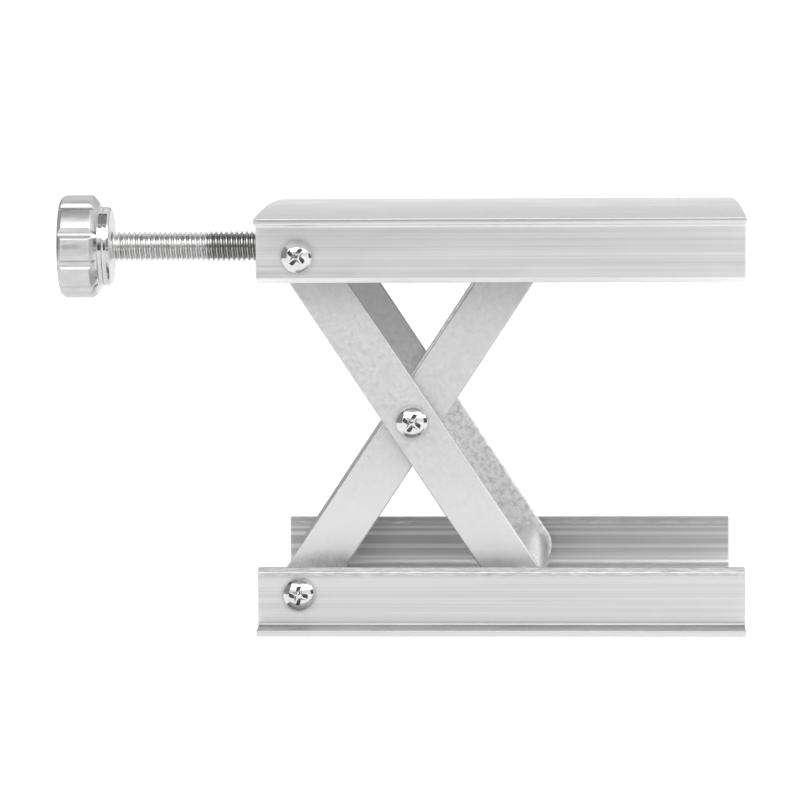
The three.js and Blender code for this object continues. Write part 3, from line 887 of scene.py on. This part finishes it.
def add_lead_screw():
    """The threaded rod, its neck through the upper sliding rod, and the washer and clip on that neck."""
    node, washer, clip = "lead_screw", "thrust_washer", "retaining_clip"
    start, length = low(node).x, extent(node).x
    shoulder = low(washer).x - CLIP_GAP - start
    rod_end = high("upper_slide_rod").x - start
    groove_end = high(clip).x + CLIP_GAP - start
    lead = [(0.01, 0), (M6_RADIUS - 0.9, 0)]
    tail = [
        (M6_RADIUS - 0.62, shoulder - 0.05), (NECK_RADIUS + 0.25, shoulder), (NECK_RADIUS, shoulder + 0.02),
        (NECK_RADIUS, rod_end), (GROOVE_RADIUS, rod_end + 0.01), (GROOVE_RADIUS, groove_end - 0.01),
        (NECK_RADIUS, groove_end), (NECK_RADIUS, length - 0.4), (NECK_RADIUS - 0.1, length - 0.12),
        (NECK_RADIUS - 0.4, length), (0.01, length),
    ]
    bm = bmesh.new()
    threaded(bm, lead, 0.3, shoulder - 0.5, M6_RADIUS, M6_PITCH, tail, about_x, 56)
    mesh = finish_mesh(bm, "lead", 35)
    piece("lead_screw_m6", mesh, THREAD, "screw", node, (start, 0, UPPER_Z))

    half = extent(washer).x / 2
    ring = soft_ring("washer", NECK_RADIUS + 0.1, extent(washer).z / 2, -half, half, 0.1, about_x)
    piece("thrust_washer_ring", ring, ZINC, "screw", washer, centre(washer), weighted=True)
    spring = clip_mesh(extent(clip).z / 2, extent(clip).x / 2)
    piece("retaining_clip_spring", spring, ZINC, "screw", clip, centre(clip), weighted=True)


def clip_mesh(outer, half):
    """A stamped E-clip about X: three inward prongs and an opening below."""
    steps = 60
    sweep = 2 * (math.pi - CLIP_OPENING)
    around = [CLIP_OPENING - math.pi / 2 + sweep * step / steps for step in range(steps + 1)]
    band, prong = outer - CLIP_BAND, GROOVE_RADIUS + 0.04
    outline = [(outer, angle) for angle in around]
    for angle in reversed(around):
        lobe = abs(math.cos(1.5 * (angle - math.pi / 2))) ** 6
        outline.append((band + (prong - band) * lobe, angle))
    flat = [(r * math.cos(a), r * math.sin(a)) for r, a in outline]
    edge = 0.05
    small = inset(flat, edge)
    stations = ((-half, small), (edge - half, flat), (half - edge, flat), (half, small))
    bm = bmesh.new()
    rings(bm, [[(x, y, z) for y, z in loop] for x, loop in stations])
    return finish_mesh(bm, "clip")


# ---- Knob ----

def knob_reach(angle):
    """The fluted outline's radius at an angle above the near side."""
    pitch = 2 * math.pi / KNOB_LOBES
    off = (angle - FLUTE_ANGLE + pitch / 2) % pitch - pitch / 2
    flute_centre = KNOB_RADIUS + FLUTE_RADIUS - FLUTE_DEPTH
    across = flute_centre * math.sin(off)
    if abs(across) >= FLUTE_RADIUS:
        return KNOB_RADIUS
    hollow = flute_centre * math.cos(off) - math.sqrt(FLUTE_RADIUS ** 2 - across ** 2)
    return soft_least(KNOB_RADIUS, hollow, 0.3)


def soft_least(a, b, blend):
    """The smaller of two lengths, with the corner between them rounded."""
    share = max(blend - abs(a - b), 0) / blend
    return min(a, b) - share * share * blend / 4


def knob_mesh(hub_end):
    """A turned profile along X, with the flutes cut into its wider part."""
    radius, front = KNOB_RADIUS, KNOB_FRONT_CHAMFER
    back, inward = KNOB_BACK_CHAMFER
    profile = [
        (0.01, 0.25), (3, 0.2), (6, 0.08), (8.3, 0), (radius - front, 0), (radius, front),
        (radius, KNOB_LENGTH - back), (radius - inward, KNOB_LENGTH), (HUB_RADIUS, KNOB_LENGTH),
        (HUB_RADIUS, hub_end), (KNOB_BORE, hub_end), (KNOB_BORE, KNOB_BORE_FLOOR), (0.01, KNOB_BORE_FLOOR),
    ]
    radii = [0, 0, 0, 0.4, 0.9, 0.9, 0.9, 0.35, 0.12, 0.08, 0.15, 0, 0]
    columns = 360
    loops = []
    for r, along in fillet(profile, radii, 6, closed=False):
        fluted = along <= KNOB_LENGTH and r > HUB_RADIUS + 0.3
        loop = []
        for i in range(columns):
            angle = 2 * math.pi * i / columns
            reach = soft_least(r, knob_reach(angle), 0.05) if fluted else r
            loop.append((along, -reach * math.cos(angle), reach * math.sin(angle)))
        loops.append(loop)
    bm = bmesh.new()
    rings(bm, loops)
    return finish_mesh(bm, "knob", 50)


def ring_mesh(width):
    along, inward = RING_CHAMFER
    corners = [
        (KNOB_BORE, 0), (HUB_RADIUS, 0), (HUB_RADIUS, width - along), (HUB_RADIUS - inward, width),
        (KNOB_BORE, width),
    ]
    outline = fillet(corners, [0.1, 0.08, 0.3, 0.3, 0.04], 5)
    return turned("ring", outline, about_x, 144, closed=True, sharp=50)


def add_knob():
    node, ring = "knob", "knob_lock_ring"
    piece("knob_body", knob_mesh(extent(node).x), CHROME, "screw", node,
          (low(node).x, 0, UPPER_Z), weighted=True)
    start = high(node).x + RING_SEAM
    piece("knob_lock_ring_body", ring_mesh(high(ring).x - start), CHROME, "screw", ring,
          (start, 0, UPPER_Z), weighted=True)


# ---- Stage, light and camera, in metres ----

FLOOR_REACH = 6.0
CARD_CEILING = 1.5
CARD_HALF_WIDTH = 1.2
LIGHT_AIM = Vector((0, 0, 0.04))
CARD_TONES = {"card_dark": 0.10, "card_mid": 0.4, "card_low": 0.16, "card_side": 0.28, "card_grey": 0.28}
# Name, tone, reach, the azimuths of both ends in degrees from the near side, bottom and top
WALL_CARDS = [
    ("card_front", "card_low", 0.45, (-20, 3), 0.001, 0.125),
    ("card_front_edge", "card_mid", 0.455, (-20, 3), 0.125, 0.18),
    ("card_left_low", "card_dark", 0.5, (-125, -96), 0.001, 0.125),
    ("card_left", "card_side", 0.5, (-95, -56), 0.001, 0.40),
    ("card_right", "card_dark", 0.5, (66, 98), 0.001, 0.20),
    ("card_back_left", "card_dark", 0.6, (-150, -112), 0.13, 0.30),
    ("card_back_right", "card_dark", 0.6, (112, 150), 0.13, 0.30),
    ("card_left_high", "card_dark", 1.3, (-120, -70), 0.85, 1.9),
]
# Name, tone, and the near and far edges' places along Y
CEILING_CARDS = [
    ("card_above", "card_grey", -0.50, 0.465),
    ("card_above_front", "card_mid", -0.95, -0.575),
    ("card_above_back", "card_dark", 0.47, 0.62),
]
# The surroundings' brightness on the near side (front) and the far side (back), by how far up it lies
FRONT_SKY = [(0.0, 1.04), (0.13, 1.02), (0.3, 0.96), (0.6, 0.96), (0.85, 1.1), (0.95, 0.85)]
BACK_SKY = [(0.0, 1.12), (0.075, 1.24), (0.15, 0.52), (0.28, 0.68), (0.6, 1.05), (0.95, 1.05)]


def stage_mesh(name, verts, faces, material, seen):
    """A plain piece of the stage, which the camera may or may not see."""
    mesh = bpy.data.meshes.new(name)
    mesh.from_pydata(verts, [], faces)
    mesh.materials.append(material)
    obj = linked(name, mesh)
    obj.visible_camera = seen


def wall_card(name, material, reach, azimuths, bottom, top, steps=48):
    """An upright curved card around the object, out of the camera's sight, for the metal to reflect."""
    verts = []
    for step in range(steps + 1):
        azimuth = math.radians(azimuths[0] + (azimuths[1] - azimuths[0]) * step / steps)
        for z in (bottom, top):
            verts.append((reach * math.sin(azimuth), -reach * math.cos(azimuth), z))
    faces = [(2 * i, 2 * i + 1, 2 * i + 3, 2 * i + 2) for i in range(steps)]
    stage_mesh(name, verts, faces, material, False)


def flat_card(name, material, half, near, far, above, seen):
    """A level rectangle from near to far along Y."""
    corners = [(-half, near, above), (half, near, above), (half, far, above), (-half, far, above)]
    stage_mesh(name, corners, [(0, 1, 2, 3)], material, seen)


def add_stage():
    flat_card("floor", plain("floor_white", 0.5, 0.68), FLOOR_REACH, -FLOOR_REACH, FLOOR_REACH, 0, True)
    tones = {name: plain(name, value) for name, value in CARD_TONES.items()}
    for name, tone, reach, azimuths, bottom, top in WALL_CARDS:
        wall_card(name, tones[tone], reach, azimuths, bottom, top)
    for name, tone, near, far in CEILING_CARDS:
        flat_card(name, tones[tone], CARD_HALF_WIDTH, near, far, CARD_CEILING, False)


def area_light(name, spot, size, power):
    """A softbox that faces the object, and that the metal reflects."""
    lamp = bpy.data.lights.new(name, "AREA")
    lamp.shape = "RECTANGLE"
    lamp.size, lamp.size_y = size
    lamp.energy = power
    obj = linked(name, lamp)
    obj.location = spot
    obj.rotation_euler = (LIGHT_AIM - Vector(spot)).to_track_quat("-Z", "Y").to_euler()
    obj.visible_camera = False


def ramp(nodes, links, value, stops):
    """A grey that follows a value through a list of (place, brightness)."""
    made = nodes.new("ShaderNodeValToRGB")
    links.new(value, made.inputs[0])
    points = made.color_ramp.elements
    while len(points) < len(stops):
        points.new(0.5)
    for point, (place, light) in zip(points, stops):
        point.position = place
        point.color = (light, light, light, 1)
    return made.outputs[0]


def add_light():
    """A pale studio all round, and three softboxes."""
    world = bpy.data.worlds.new("studio")
    world.use_nodes = True
    nodes, links = world.node_tree.nodes, world.node_tree.links
    direction = nodes.new("ShaderNodeTexCoord").outputs["Generated"]
    split = nodes.new("ShaderNodeSeparateXYZ")
    links.new(direction, split.inputs[0])
    front = ramp(nodes, links, split.outputs[2], FRONT_SKY)
    back = ramp(nodes, links, split.outputs[2], BACK_SKY)
    side = nodes.new("ShaderNodeMapRange")
    links.new(split.outputs[1], side.inputs["Value"])
    side.inputs["From Min"].default_value = -0.25
    side.inputs["From Max"].default_value = 0.15
    mixed = nodes.new("ShaderNodeMix")
    mixed.data_type = "RGBA"
    links.new(side.outputs[0], mixed.inputs["Factor"])
    links.new(front, mixed.inputs[6])
    links.new(back, mixed.inputs[7])
    background = nodes["Background"]
    links.new(mixed.outputs[2], background.inputs["Color"])
    background.inputs["Strength"].default_value = 1.0
    bpy.context.scene.world = world
    bpy.context.scene.view_settings.view_transform = "Standard"
    area_light("softbox_front_left", (-0.52, -0.86, 0.94), (1.22, 0.84), 4.75)
    area_light("softbox_front_right", (0.52, -0.86, 0.94), (1.5, 0.84), 5.85)
    area_light("softbox_right", (1.35, -0.12, 0.78), (0.8, 0.6), 2.6)


def add_camera():
    """A long lens on the near side, above the platform, turned a little towards the knob and down."""
    spot = Vector((14.97, -816.5, 105.86)) * MM
    turn, tilt, roll = (math.radians(a) for a in (2.483, -4.632, -0.2985))
    ahead = Vector((-math.sin(turn) * math.cos(tilt), math.cos(turn) * math.cos(tilt), math.sin(tilt)))
    level = Vector((math.cos(turn), math.sin(turn), 0))
    upward = level.cross(ahead)
    right = level * math.cos(roll) + upward * math.sin(roll)
    top = right.cross(ahead)
    lens = bpy.data.cameras.new("camera")
    lens.sensor_width = 36
    lens.lens = 189.3
    lens.clip_end = 30
    obj = linked("camera", lens)
    obj.matrix_world = Matrix.Translation(spot) @ Matrix((right, top, -ahead)).transposed().to_4x4()
    bpy.context.scene.camera = obj


add_channels()
add_arms()
add_rods()
add_hardware()
add_lead_screw()
add_knob()
add_stage()
add_light()
add_camera()
